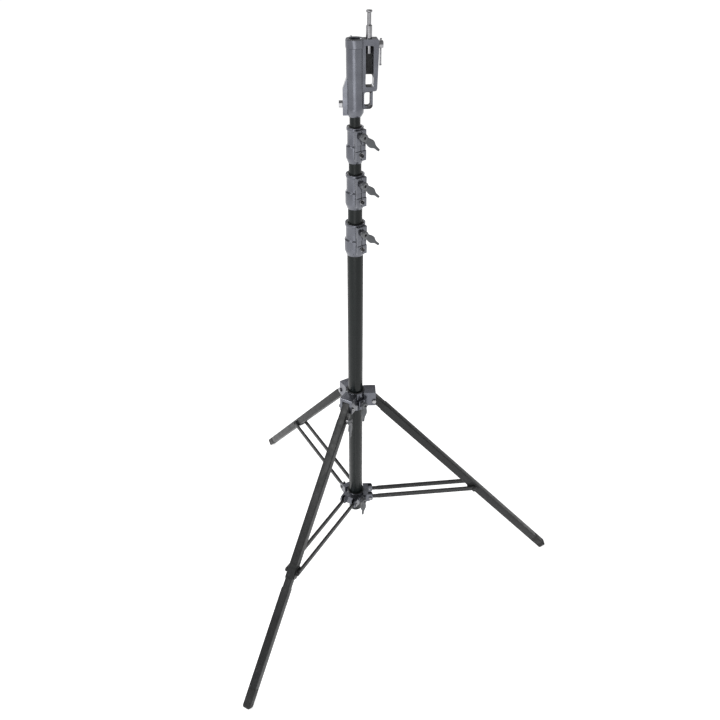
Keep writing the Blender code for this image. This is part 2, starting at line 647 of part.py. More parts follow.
def make_leg(side, axis, floor):
    pivot_r, pivot_z = LEG_PIVOT
    arm = empty("leg_plane_" + side, axis, (0, 0, 0), (0, 0, LEG_AZIMUTHS[side]))
    hinge = empty("leg_hinge_" + side, arm, (pivot_r, 0, pivot_z), (0, LEG_SLOPE, 0))
    hole = rod("leg_hole_" + side, BOLT_R + GAP, -0.03, 0.03)
    place(hole, hinge, (0, 0, 0), Y_AXIS_TURN)
    foot_start = LEG_LENGTH - FOOT_LENGTH
    if side == "front":
        slide = empty("leg_slide_front", hinge)
        make_level_sleeve(hinge, hole)
        half = LEVEL_LEG_HALF
        top = LEVEL_LEG_TOP
    else:
        slide = hinge
        half = LEG_HALF
        top = LEG_TOP
    name = "leg_%s_tube" % side
    tube, hollow = square_tube(name, top, foot_start - GAP, half, LEG_WALL, LEG_PAINT)
    cut(place(tube, slide), place(hollow, slide))
    if side != "front":
        cut(tube, hole)
    make_foot(side, slide, half, floor)
    make_bracket(side, hinge)
    make_struts(side, axis)


def make_level_sleeve(hinge, hole):
    """The outer tube of the levelling leg, with a welded boss for its lever screw."""
    sleeve, hollow = square_tube("leg_front_sleeve", LEG_TOP, SLEEVE_END, SLEEVE_HALF,
                                 SLEEVE_WALL, LEG_PAINT)
    place(sleeve, hinge)
    face = SLEEVE_HALF + LEVEL_BOSS_OUT
    boss = block("level_boss", (LEVEL_LOCK_X - 0.013, 0.0128, -0.0095),
                 (LEVEL_LOCK_X + 0.013, face, 0.0095), None, 0.001)
    join(sleeve, place(boss, hinge))
    stud_hole = rod("level_stud_hole", STUD_HOLE_R, 0.005, face + 0.005)
    place(stud_hole, hinge, (LEVEL_LOCK_X, 0, 0), Y_AXIS_TURN)
    cut(sleeve, place(hollow, hinge), stud_hole, hole)
    plumb = LEG_SLOPE
    outward = (Matrix.Rotation(-plumb, 3, "Y") @ Matrix.Rotation(math.pi / 2, 3, "Z")).to_euler()
    at = (LEVEL_LOCK_X, face, 0)
    make_lever_screw("leveling", face - LEVEL_LEG_HALF - 0.001, hinge, at, outward,
                     0.0, LEVEL_NUT_LENGTH)


def make_foot(side, slide, half, floor):
    start = LEG_LENGTH - FOOT_LENGTH
    name = "foot_" + side
    foot = block(name, (start, -FOOT_HALF, -FOOT_HALF), (LEG_LENGTH, FOOT_HALF, FOOT_HALF),
                 RUBBER, 0.0025, 2)
    inside = half - LEG_WALL - 0.0004
    plug = block(name + "_plug", (start - 0.025, -inside, -inside), (start + 0.005, inside, inside))
    join(place(foot, slide), place(plug, slide))
    cut(foot, floor)


def make_bracket(side, hinge):
    """A channel that wraps the leg's underside and sides where the struts meet it."""
    half = leg_half(side) + GAP
    start = STRUT_AT - BRACKET_LENGTH / 2
    end = STRUT_AT + BRACKET_LENGTH / 2
    wall = BRACKET_HALF - half
    bracket = block("strut_bracket_" + side, (start, -BRACKET_HALF, -half - wall),
                    (end, BRACKET_HALF, 0.0085), LEG_PAINT, 0.001)
    inside = block("bracket_inside_" + side, (start - 0.01, -half, -half), (end + 0.01, half, 0.02))
    cut(place(bracket, hinge), place(inside, hinge))


def strut_end():
    """Where the struts meet the leg, as (distance from column, height)."""
    pivot_r, pivot_z = LEG_PIVOT
    return (pivot_r + STRUT_AT * math.cos(LEG_SLOPE), pivot_z - STRUT_AT * math.sin(LEG_SLOPE))


def make_struts(side, axis):
    """Two channel bars, one each side of the leg, pivoting in the lower hub's forks."""
    end_r, end_z = strut_end()
    run = end_r - STRUT_PIVOT[0]
    rise = end_z - STRUT_PIVOT[1]
    length = math.hypot(run, rise)
    arm = bpy.data.objects["lower_arm_" + side]
    at = (STRUT_PIVOT[0], 0, STRUT_PIVOT[1])
    hinge = empty("strut_hinge_" + side, arm, at, (0, -math.atan2(rise, run), 0))
    radius = STRUT_HEIGHT / 2
    outline = arc((length, 0), radius, -90, 90, 5) + arc((0, 0), radius, 90, 270, 5)
    for letter, sign in (("a", 1), ("b", -1)):
        name = "strut_%s_%s" % (side, letter)
        offset = sign * STRUT_OFFSET
        strut = upright(plate(name, outline, STRUT_WIDTH / 2, LEG_PAINT), hinge, (0, offset, 0))
        channel = block(name + "_channel", (0.018, offset - 0.0027, -0.02),
                        (length - 0.018, offset + 0.0027, radius - 0.0018))
        hole = rod(name + "_hole", PIN_R + 0.0004, -0.01, 0.01)
        outer = sign * (STRUT_OFFSET + STRUT_WIDTH / 2)
        rivet = rod(name + "_rivet", 0.0058, -0.002, 0.003, None, SMALL_STEPS, edge=0.0012)
        place(rivet, hinge, (length, outer, 0), (-sign * math.pi / 2, 0, 0))
        place(hole, hinge, (0, offset, 0), Y_AXIS_TURN)
        cut(strut, place(channel, hinge), hole)
        join(strut, rivet)


# ---- assembly -----------------------------------------------------------------
def main():
    axis = empty("column_axis", None, (COLUMN_X, 0, -FLOOR_SINK))
    make_base_tube(axis)
    slides = [axis]
    for number in (1, 2, 3):
        slides.append(empty("riser_%d_slide" % number, slides[-1]))
    tops = [COLLAR_BOTTOMS[1] + COLLAR_SEAT, COLLAR_BOTTOMS[2] + COLLAR_SEAT, HEAD_Z + 0.088]
    for number, top in enumerate(tops, 1):
        make_riser(number, top, slides[number])
    for number in (1, 2, 3):
        make_collar(number, slides[number - 1])
    make_head(slides[3])
    make_upper_hub(axis)
    make_lower_hub(axis)
    floor = block("floor_cut", (-1.5, -1.5, -0.05), (1.5, 1.5, 0.0))
    for side in LEG_AZIMUTHS:
        make_leg(side, axis, floor)


main()
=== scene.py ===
import json
import math

import bmesh
import bpy
from mathutils import Matrix, Vector

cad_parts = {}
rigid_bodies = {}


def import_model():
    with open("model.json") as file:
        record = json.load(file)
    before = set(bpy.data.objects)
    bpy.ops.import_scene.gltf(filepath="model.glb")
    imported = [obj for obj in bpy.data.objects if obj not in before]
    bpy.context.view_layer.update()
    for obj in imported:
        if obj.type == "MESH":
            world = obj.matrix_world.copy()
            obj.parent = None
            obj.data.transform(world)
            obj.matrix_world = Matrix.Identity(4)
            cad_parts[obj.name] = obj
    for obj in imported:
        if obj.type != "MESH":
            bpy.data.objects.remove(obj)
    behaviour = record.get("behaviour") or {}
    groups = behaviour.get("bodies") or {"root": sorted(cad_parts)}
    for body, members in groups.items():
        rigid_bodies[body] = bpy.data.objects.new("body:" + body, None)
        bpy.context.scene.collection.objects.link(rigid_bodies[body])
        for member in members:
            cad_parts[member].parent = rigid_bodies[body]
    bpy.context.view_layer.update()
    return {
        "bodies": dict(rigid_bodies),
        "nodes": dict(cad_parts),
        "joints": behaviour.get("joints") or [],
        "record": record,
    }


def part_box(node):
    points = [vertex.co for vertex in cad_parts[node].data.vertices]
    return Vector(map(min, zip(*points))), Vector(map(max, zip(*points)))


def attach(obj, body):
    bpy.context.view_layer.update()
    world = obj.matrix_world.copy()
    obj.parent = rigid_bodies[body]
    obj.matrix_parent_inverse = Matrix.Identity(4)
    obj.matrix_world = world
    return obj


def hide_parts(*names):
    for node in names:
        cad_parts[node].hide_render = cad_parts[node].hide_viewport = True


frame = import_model()

# The column's axis, read from the CAD.
LOW, HIGH = (Vector(corner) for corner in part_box("base_tube"))
COLUMN = Vector(((LOW.x + HIGH.x) / 2, (LOW.y + HIGH.y) / 2, 0.0))

# Camera, relative to the column's foot.
VIEW_TURN = math.radians(-2.06)
VIEW_PITCH = 0.6212
VIEW_ROLL = math.radians(0.15)
VIEW_OFFSET = Vector((0.0153, -2.0223, 2.3987))
LENS_MM = 37.25

# Sizes shared by several pieces, in metres.
STEPS = 72
GAP = 0.0003
TUBE_WALL = 0.0025
CLAMP_HALF = 0.017
PIN_RADIUS = 0.008
PIN_NECK = 0.0053
# How far from the pin's axis the head's faces get the painted recess shade.
RECESS_REACH = 0.0115

# Wing levers: the length of the nut that each one stands on.
NUT = 0.007
LEVERS = {"collar_1": NUT, "collar_2": NUT, "collar_3": NUT, "upper_hub": NUT, "lower_hub": NUT,
          "leveling": 0.005}

# Legs and struts. Distances run down the leg from its hinge; widths are half widths.
LEG_BODIES = {"right": "leg_right", "back": "leg_back", "front": "leg_front"}
LEG_TOP = -0.014
LEVEL_LEG_TOP = 0.008
HUB_END = 0.046
SHOULDER_END = 0.050
LEG_IN_HUB = 0.0125
LEG_HALF = 0.0139
LEG_WALL = 0.0012
SLEEVE_IN_HUB = 0.0133
SLEEVE_HALF = 0.0141
SLEEVE_WALL = 0.0010
SLEEVE_END = 0.605
LEVEL_NECK_HALF = 0.0121
LEVEL_NECK_END = 0.634
LEVEL_WIDE_FROM = 0.641
STRUT_AT = 0.5795
STRUT_OFFSET = 0.021
STRUT_HALF = 0.0039
STRUT_DEEP = 0.0083
STRUT_NECK_DEEP = 0.0068


# ---- materials ----------------------------------------------------------------
class Nodes:
    """A short way to build a node tree round one Principled shader."""

    def __init__(self, name):
        self.material = bpy.data.materials.new(name)
        self.material.use_nodes = True
        self.tree = self.material.node_tree
        self.shader = self.tree.nodes["Principled BSDF"]
        self.place = self.add("ShaderNodeTexCoord").outputs["Object"]

    def add(self, kind, **settings):
        node = self.tree.nodes.new(kind)
        for key, value in settings.items():
            setattr(node, key, value)
        return node

    def link(self, source, target):
        self.tree.links.new(source, target)

    def noise(self, scale, detail=4.0, rough=0.55, stretch=(1, 1, 1)):
        mapping = self.add("ShaderNodeMapping")
        mapping.inputs["Scale"].default_value = stretch
        self.link(self.place, mapping.inputs["Vector"])
        node = self.add("ShaderNodeTexNoise")
        node.inputs["Scale"].default_value = scale
        node.inputs["Detail"].default_value = detail
        node.inputs["Roughness"].default_value = rough
        self.link(mapping.outputs["Vector"], node.inputs["Vector"])
        return node.outputs["Fac"]

    def ramp(self, value, low, high, start=0.0, end=1.0):
        node = self.add("ShaderNodeMapRange")
        node.inputs["From Min"].default_value = start
        node.inputs["From Max"].default_value = end
        node.inputs["To Min"].default_value = low
        node.inputs["To Max"].default_value = high
        self.link(value, node.inputs["Value"])
        return node.outputs["Result"]

    def mix(self, factor, first, second):
        node = self.add("ShaderNodeMix", data_type="RGBA")
        self.link(factor, node.inputs["Factor"])
        for socket, colour in ((node.inputs[6], first), (node.inputs[7], second)):
            if isinstance(colour, tuple):
                socket.default_value = (*colour, 1.0)
            else:
                self.link(colour, socket)
        return node.outputs[2]

    def edges(self, low=0.53, high=0.60):
        """How much a point lies on a sharp outer edge, for worn paint."""
        geometry = self.add("ShaderNodeNewGeometry")
        return self.ramp(geometry.outputs["Pointiness"], 0.0, 1.0, low, high)

    def multiply(self, first, second):
        node = self.add("ShaderNodeMath", operation="MULTIPLY")
        self.link(first, node.inputs[0])
        self.link(second, node.inputs[1])
        return node.outputs[0]

    def bump(self, height, strength, distance):
        node = self.add("ShaderNodeBump")
        node.inputs["Strength"].default_value = strength * 0.5
        node.inputs["Distance"].default_value = distance
        self.link(height, node.inputs["Height"])
        self.link(node.outputs["Normal"], self.shader.inputs["Normal"])

    def colour(self, value):
        self.link(value, self.shader.inputs["Base Color"])

    def roughness(self, value):
        self.link(value, self.shader.inputs["Roughness"])


def painted(name, base, light, bare, rough, grain, wear, coat=0.0, metallic=0.0, grip=0.22,
            sheen=0.5):
    """Paint over metal: mottled colour, orange-peel grain, scuffs and worn edges."""
    made = Nodes(name)
    mottle = made.ramp(made.noise(26.0, 5.0), 0.0, 1.0, 0.3, 0.7)
    body = made.mix(mottle, base, light)
    scuffs = made.ramp(made.noise(90.0, 7.0, 0.7, (1, 1, 0.35)), 0.0, 1.0, 0.60, 0.70)
    edge = made.ramp(made.noise(160.0, 4.0), 0.25, 1.0, 0.35, 0.65)
    worn = made.multiply(made.multiply(made.edges(), edge), made.ramp(scuffs, wear, 1.0))
    made.colour(made.mix(worn, body, bare))
    made.roughness(made.ramp(made.noise(55.0, 5.0), rough - 0.07, rough + 0.10, 0.3, 0.7))
    made.bump(made.noise(grain, 3.0), grip, 0.0004)
    made.shader.inputs["Metallic"].default_value = metallic
    made.shader.inputs["Specular IOR Level"].default_value = sheen
    made.shader.inputs["Coat Weight"].default_value = coat
    made.shader.inputs["Coat Roughness"].default_value = 0.18
    return made.material


def metal(name, base, light, rough, stretch, bump, grain=420.0):
    """Bare or plated metal with fine machining marks and handling smudges."""
    made = Nodes(name)
    lines = made.noise(grain, 3.0, 0.5, stretch)
    smudge = made.noise(38.0, 5.0)
    made.colour(made.mix(made.ramp(smudge, 0.0, 1.0, 0.35, 0.7), base, light))
    made.roughness(made.ramp(made.multiply(lines, smudge), rough, rough + 0.22, 0.1, 0.5))
    made.bump(lines, bump, 0.0002)
    made.shader.inputs["Metallic"].default_value = 1.0
    return made.material


def moulded(name, base, light, rough, grain, bump):
    """Rubber or plastic with a fine moulded grain and dust in random patches."""
    made = Nodes(name)
    dust = made.ramp(made.noise(70.0, 6.0, 0.6), 0.0, 1.0, 0.45, 0.75)
    made.colour(made.mix(dust, base, light))
    made.roughness(made.ramp(made.noise(120.0, 4.0), rough - 0.08, rough + 0.10, 0.3, 0.7))
    made.bump(made.noise(grain, 4.0, 0.6), bump, 0.0004)
    return made.material


CAST = painted("cast_paint", (0.104, 0.108, 0.127), (0.140, 0.146, 0.168), (0.36, 0.37, 0.39),
               0.25, 420.0, 0.35, coat=0.25, metallic=0.85, grip=0.12)
TUBE = painted("tube_paint", (0.0040, 0.0064, 0.0064), (0.0066, 0.0096, 0.0096),
               (0.06, 0.06, 0.06), 0.30, 260.0, 0.25, grip=0.06, sheen=0.26)
LEG = painted("leg_paint", (0.011, 0.0118, 0.0120), (0.017, 0.0178, 0.0182), (0.14, 0.14, 0.145),
              0.38, 320.0, 0.30, grip=0.12, sheen=0.26)
LEVER = painted("lever_paint", (0.075, 0.080, 0.088), (0.105, 0.111, 0.118), (0.26, 0.26, 0.27),
                0.44, 360.0, 0.50, metallic=0.2)
STEEL = metal("steel", (0.30, 0.30, 0.31), (0.48, 0.48, 0.49), 0.26, (1, 1, 6), 0.10)
DARK_STEEL = metal("dark_steel", (0.045, 0.045, 0.048), (0.090, 0.090, 0.094), 0.32, (1, 1, 5),
                   0.08)
CHROME = metal("chrome", (0.20, 0.20, 0.21), (0.34, 0.34, 0.35), 0.14, (1, 1, 8), 0.04)
# Painted shade: a near-black paint for the recess round the pin, standing in for the shade that
# falls inside it.
RECESS_SHADE_PAINT = painted("recess_painted_shade", (0.010, 0.010, 0.012), (0.018, 0.018, 0.021), (0.10, 0.10, 0.11),
                 0.55, 420.0, 0.30)
RUBBER = moulded("rubber", (0.009, 0.009, 0.009), (0.020, 0.0195, 0.019), 0.62, 700.0, 0.30)
PLASTIC = moulded("black_plastic", (0.006, 0.006, 0.007), (0.014, 0.014, 0.015), 0.42, 700.0, 0.15)


def finish_of(name):
    """The material that a CAD node's name calls for."""
    if name.startswith("foot_"):
        return RUBBER
    if name == "spigot_pin":
        return CHROME
    if name.endswith(("_bushing", "_end_cap")):
        return PLASTIC
    if name.endswith("_lever"):
        return LEVER
    if name.endswith(("_stud", "_bolt", "_screw", "_bar")):
        return STEEL
    if name.startswith(("leg_bolt", "strut_pin")):
        return STEEL
    if name.startswith(("base_tube", "riser_")):
        return TUBE
    if name.startswith(("leg_", "strut_")):
        return LEG
    return CAST


def darken_recess(head):
    """The narrow recess round the pin is painted dark, as painted shade for the shadow inside the
    recess.
    """
    head.data.materials.append(RECESS_SHADE_PAINT)
    pin = middle_of("spigot_pin")
    for face in head.data.polygons:
        if (head.matrix_world @ face.center - pin).xy.length < RECESS_REACH:
            face.material_index = 1


def dress_cad():
    """Each CAD node that stays gets its finish and softened edges."""
    for name, obj in frame["nodes"].items():
        obj.data.materials.clear()
        obj.data.materials.append(finish_of(name))
        for face in obj.data.polygons:
            face.use_smooth = True
            face.material_index = 0
        # The head's recess round the pin gets painted shade.
        if name == "head_casting":
            darken_recess(obj)
        if "custom_normal" in obj.data.attributes:
            obj.data.attributes.remove(obj.data.attributes["custom_normal"])
        weld = obj.modifiers.new("weld", "WELD")
        weld.merge_threshold = 0.00001
        soft = obj.modifiers.new("soft_edges", "BEVEL")
        soft.width = 0.0007
        soft.segments = 2
        soft.limit_method = "ANGLE"
        soft.angle_limit = math.radians(32.0)
        even = obj.modifiers.new("even_normals", "WEIGHTED_NORMAL")
        even.keep_sharp = True


# ---- geometry helpers ---------------------------------------------------------
AXIS_FRAME = Matrix.Translation(COLUMN)


def new_piece(name, work, material, bodies, nodes, angle=35.0):
    """Finish a bmesh as a smooth-shaded piece that rides on a body and stands for CAD nodes."""
    bmesh.ops.recalc_face_normals(work, faces=work.faces)
    mesh = bpy.data.meshes.new(name)
    work.to_mesh(mesh)
    work.free()
    mesh.materials.append(material)
    mesh.shade_smooth()
    mesh.set_sharp_from_angle(angle=math.radians(angle))
    piece = bpy.data.objects.new(name, mesh)
    bpy.context.scene.collection.objects.link(piece)
    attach(piece, bodies)
    if nodes:
        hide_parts(*nodes)
    return piece


def rounded(points, radius, steps=3):
    """Soften the corners of an open profile of (radius, height) points."""
    result = [points[0]]
    for before, corner, after in zip(points, points[1:], points[2:]):
        here = Vector(corner)
        back = Vector(before) - here
        on = Vector(after) - here
        reach = min(radius, back.length * 0.45, on.length * 0.45)
        start = here + back.normalized() * reach
        end = here + on.normalized() * reach
        for i in range(steps + 1):
            t = i / steps
            result.append(tuple(start * (1 - t) ** 2 + here * 2 * t * (1 - t) + end * t ** 2))
    result.append(points[-1])
    return result


def turn(work, profile, frame, closed=False, steps=STEPS):
    """Turn a (radius, height) profile about the Z axis of a frame."""
    rings = []
    for radius, height in profile:
        if radius < 1e-6:
            rings.append([work.verts.new(frame @ Vector((0, 0, height)))])
            continue
        ring = []
        for i in range(steps):
            angle = 2 * math.pi * i / steps
            spot = Vector((radius * math.cos(angle), radius * math.sin(angle), height))
            ring.append(work.verts.new(frame @ spot))
        rings.append(ring)
    pairs = list(zip(rings, rings[1:]))
    if closed:
        pairs.append((rings[-1], rings[0]))
    for first, second in pairs:
        for i in range(steps):
            j = (i + 1) % steps
            corners = [first[i % len(first)], first[j % len(first)]]
            corners += [second[j % len(second)], second[i % len(second)]]
            unique = list(dict.fromkeys(corners))
            if len(unique) > 2:
                work.faces.new(unique)


def loft(work, sections, frame):
    """Join equal rings of points into a closed skin with flat ends."""
    rings = [[work.verts.new(frame @ Vector(point)) for point in section] for section in sections]
    count = len(rings[0])
    for first, second in zip(rings, rings[1:]):
        for i in range(count):
            j = (i + 1) % count
            work.faces.new((first[i], first[j], second[j], second[i]))
    work.faces.new(rings[0])
    work.faces.new(list(reversed(rings[-1])))


def rounded_bar(work, low, high, radius, frame, steps=3):
    """A box with rounded edges in a frame."""
    made = bmesh.ops.create_cube(work, size=1.0)
    size = Vector(high) - Vector(low)
    centre = (Vector(high) + Vector(low)) / 2
    for vert in made["verts"]:
        vert.co = Vector((vert.co.x * size.x, vert.co.y * size.y, vert.co.z * size.z)) + centre
    edges = list({edge for vert in made["verts"] for edge in vert.link_edges})
    grown = bmesh.ops.bevel(work, geom=edges, offset=radius, segments=steps, affect="EDGES",
                            profile=0.5)
    verts = {vert for face in grown["faces"] for vert in face.verts}
    verts |= {vert for vert in made["verts"] if vert.is_valid}
    for vert in verts:
        vert.co = frame @ vert.co


def joint(name):
    for entry in frame["joints"]:
        if entry["name"] == name:
            return entry
    raise KeyError(name)


def axis_frame(entry, along=(0, 0, -1)):
    """A frame at a joint: Z along its axis, X along a direction made square to it."""
    axis = Vector(entry["axis"]).normalized()
    direction = Vector(along)
    direction = (direction - axis * direction.dot(axis)).normalized()
    side = axis.cross(direction)
    turned_frame = Matrix((direction, side, axis)).transposed().to_4x4()
    return Matrix.Translation(Vector(entry["pos_m"])) @ turned_frame


def middle_of(node):
    low, high = (Vector(corner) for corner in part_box(node))
    return (low + high) / 2


def round_size(node):
    low, high = (Vector(corner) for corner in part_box(node))
    return (high.y - low.y) / 2, low.z, high.z


# ---- tubes --------------------------------------------------------------------
def make_tubes():
    for node, body in (("base_tube", "column"), ("riser_1_tube", "riser_1"),
                       ("riser_2_tube", "riser_2"), ("riser_3_tube", "riser_3")):
        radius, low, high = round_size(node)
        work = bmesh.new()
        bore = radius - TUBE_WALL
        profile = rounded([(bore, high), (radius, high), (radius, low), (bore, low)], 0.0006)
        turn(work, profile, AXIS_FRAME, True)
        new_piece(node + "_fine", work, TUBE, body, [node])


# ---- collars ------------------------------------------------------------------
def make_collars():
    """Cast collars with a stepped body, a split clamp block and a dark wiper ring."""
    chain = (("base_tube", "riser_1_tube", "column"), ("riser_1_tube", "riser_2_tube", "riser_1"),
             ("riser_2_tube", "riser_3_tube", "riser_2"))
    for number, (seat_node, grip_node, body) in enumerate(chain, 1):
        node = "collar_%d" % number
        seat = round_size(seat_node)[0]
        grip = round_size(grip_node)[0]
        low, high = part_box(node)[0].z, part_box(node)[1].z
        middle = (low + high) / 2
        rim = seat + 0.0060
        upper = seat + 0.0036
        lower = seat + 0.0074
        inside = grip + 0.0048
        profile = [(inside, high - 0.004), (inside, high), (rim, high), (rim, high - 0.0085)]
        profile += [(upper, high - 0.0105), (upper, middle + 0.0016), (lower, middle - 0.0016)]
        profile += [(lower, low + 0.015), (seat + 0.002, low), (seat + 0.0004, low)]
        profile += [(seat + 0.0004, high - 0.040), (grip + 0.0005, high - 0.040)]
        profile += [(grip + 0.0005, high - 0.004)]
        work = bmesh.new()
        turn(work, rounded(profile, 0.0011), AXIS_FRAME, True)
        new_piece(node + "_body", work, CAST, body, [node])
        wiper = [(grip + 0.0005, high - 0.0035), (grip + 0.0005, high - 0.0004)]
        wiper += [(grip + 0.0020, high + 0.0007), (inside - 0.0003, high - 0.0008)]
        wiper += [(inside - 0.0003, high - 0.0035)]
        work = bmesh.new()
        turn(work, wiper, AXIS_FRAME, True)
        new_piece(node + "_wiper", work, PLASTIC, body, [node])
        make_clamp_block(number, body, low, high, seat)


def make_clamp_block(number, body, low, high, seat):
    entry = joint("collar_%d_lock_turn" % number)
    reach = (Vector(entry["pos_m"]) - COLUMN).xy.length
    azimuth = math.atan2(entry["axis"][1], entry["axis"][0])
    block = AXIS_FRAME @ Matrix.Rotation(azimuth, 4, "Z")
    inner = seat + 0.0006
    work = bmesh.new()
    spans = ((low + 0.0117, low + 0.040, 0.0), (low + 0.0385, low + 0.0585, 0.0018),
             (low + 0.057, high - 0.0032, 0.0))
    for bottom, top, sunk in spans:
        for side in (-1, 1):
            edge = sorted((side * 0.0008, side * (CLAMP_HALF - sunk * 0.4)))
            rounded_bar(work, (inner, edge[0], bottom), (reach - sunk, edge[1], top), 0.0014,
                        block)
    name = "collar_%d_clamp" % number
    new_piece(name, work, CAST, body, ["collar_%d" % number])


def make_collar_bolts():
    """A bright washer under a dark socket-head screw."""
    for number, body in ((1, "column"), (2, "riser_1"), (3, "riser_2")):
        node = "collar_%d_fixing_bolt" % number
        entry = dict(joint("collar_%d_lock_turn" % number))
        spot = Vector(entry["pos_m"])
        spot.z = middle_of(node).z
        entry["pos_m"] = spot
        place = axis_frame(entry)
        work = bmesh.new()
        washer = [(0, 0.0016), (0.0074, 0.0016), (0.0074, 0.0002), (0, 0.0002)]
        turn(work, rounded(washer, 0.0004), place)
        new_piece("collar_%d_washer" % number, work, STEEL, body, [node])
        work = bmesh.new()
        head = [(0, 0.0042), (0.0024, 0.0042), (0.0026, 0.0064), (0.0052, 0.0064)]
        head += [(0.0052, 0.0017), (0, 0.0017)]
        turn(work, rounded(head, 0.0005), place, steps=36)
        new_piece("collar_%d_socket" % number, work, DARK_STEEL, body, [node])


# ---- wing levers --------------------------------------------------------------
PADDLE = ((0.006, 0.0080), (0.014, 0.0084), (0.020, 0.0097), (0.026, 0.0110), (0.031, 0.0112),
          (0.036, 0.0103), (0.040, 0.0082), (0.044, 0.0060), (0.048, 0.0046), (0.054, 0.0040),
          (0.0645, 0.0037), (0.066, 0.0026))


def make_levers():
    """A grooved stud and nut, a turned boss and a waisted paddle for each lock."""
    for name, nut in LEVERS.items():
        body = name + "_lock"
        entry = joint(name + "_lock_turn")
        along = middle_of(name + "_lever") - Vector(entry["pos_m"])
        place = axis_frame(entry, along)
        end = GAP + nut
        work = bmesh.new()
        rings = [(0, end + 0.0040), (0.0030, end + 0.0040), (0.0038, end + 0.0032)]
        rings += [(0.0038, end + 0.0004), (0.0072, end + GAP), (0.0072, 0.0036), (0.0086, 0.0032)]
        rings += [(0.0086, 0.0022), (0.0074, 0.0019), (0.0086, 0.0016), (0.0086, GAP), (0, GAP)]
        if nut < NUT:
            rings = rings[:5] + [(0.0072, 0.0018), (0.0084, 0.0015), (0.0084, GAP), (0, GAP)]
        turn(work, rings, place, steps=48)
        new_piece(name + "_stud_fine", work, STEEL, body, [name + "_stud"])
        start = end + GAP
        work = bmesh.new()
        boss = [(0.0042, start + 0.0100), (0.0088, start + 0.0100), (0.0108, start + 0.0086)]
        boss += [(0.0108, start + 0.0066), (0.0102, start + 0.0062), (0.0108, start + 0.0058)]
        boss += [(0.0110, start + 0.0010), (0.0100, start), (0.0042, start)]
        turn(work, boss, place, True, 56)
        new_piece(name + "_boss", work, LEVER, body, [name + "_lever"])
        work = bmesh.new()
        sections = []
        centre = start + 0.006
        for distance, half in PADDLE:
            thick = 0.0034 if half > 0.004 else 0.0026
            ring = []
            for i in range(28):
                angle = 2 * math.pi * i / 28
                across = math.copysign(abs(math.cos(angle)) ** 0.45, math.cos(angle)) * half
                rise = math.copysign(abs(math.sin(angle)) ** 0.45, math.sin(angle)) * thick
                ring.append((distance, across, centre + rise))
            sections.append(ring)
        loft(work, sections, place)
        new_piece(name + "_paddle", work, LEVER, body, [name + "_lever"], 50.0)


# ---- pin and rings ------------------------------------------------------------
def make_pin():
    low, high = (Vector(corner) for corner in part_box("spigot_pin"))
    place = Matrix.Translation(((low.x + high.x) / 2, (low.y + high.y) / 2, 0))
    top = high.z
    bottom = low.z
    profile = [(0, top), (PIN_RADIUS, top), (PIN_RADIUS, top - 0.0042), (PIN_NECK, top - 0.0062)]
    profile += [(PIN_NECK, top - 0.034), (PIN_RADIUS, top - 0.036), (PIN_RADIUS, bottom)]
    profile += [(0, bottom)]
    work = bmesh.new()
    turn(work, rounded(profile, 0.0009), place, steps=56)
    new_piece("spigot_pin_fine", work, CHROME, "spigot", ["spigot_pin"])


def make_bushings():
    for name, body in (("upper_hub_bushing", "upper_hub"), ("lower_hub_bushing", "base")):
        outer, low, high = round_size(name)
        bore = round_size("base_tube")[0] + 0.0005
        seat = outer - 0.0025
        profile = [(bore, high - 0.0010), (bore + 0.0012, high), (outer - 0.0008, high)]
        profile += [(outer, high - 0.0010), (outer, high - 0.0034), (seat, high - 0.0034)]
        profile += [(seat, low), (bore, low)]
        work = bmesh.new()
        turn(work, profile, AXIS_FRAME, True)
        new_piece(name + "_fine", work, PLASTIC, body, [name])


# ---- legs ---------------------------------------------------------------------
def leg_line(side):
    """The leg's frame (X down the leg, Z across it), where its foot starts, and its direction."""
    entry = joint("leg_%s_fold" % side)
    along = middle_of("leg_%s_tube" % side) - Vector(entry["pos_m"])
    top = LEVEL_LEG_TOP if side == "front" else LEG_TOP
    return axis_frame(entry, along), 2 * along.length - top + GAP, along.normalized()


def square_ring(distance, half, corner=0.0022, steps=4):
    """A rounded square across the X axis."""
    ring = []
    for quarter in range(4):
        middle = math.pi / 4 + quarter * math.pi / 2
        reach = (half - corner) * math.sqrt(2)
        centre = (reach * math.cos(middle), reach * math.sin(middle))
        for i in range(steps + 1):
            angle = middle + math.pi / 2 * (i / steps - 0.5)
            ring.append((distance, centre[0] + corner * math.cos(angle),
                         centre[1] + corner * math.sin(angle)))
    return ring


def square_tube(work, stations, wall, place):
    """A hollow square tube through (distance, half width) stations, with rounded lips."""
    first, last = stations[0], stations[-1]
    outer = [(first[0], first[1] - 0.0005), (first[0] + 0.0005, first[1])] + list(stations[1:-1])
    outer += [(last[0] - 0.0005, last[1]), (last[0], last[1] - 0.0005)]
    inner = [(last[0], last[1] - wall), (first[0], first[1] - wall)]
    sections = [square_ring(*entry) for entry in outer]
    sections += [square_ring(distance, half, 0.0012) for distance, half in inner]
    rings = [[work.verts.new(place @ Vector(point)) for point in ring] for ring in sections]
    count = len(rings[0])
    for one, two in zip(rings, rings[1:] + rings[:1]):
        for i in range(count):
            j = (i + 1) % count
            work.faces.new((one[i], one[j], two[j], two[i]))


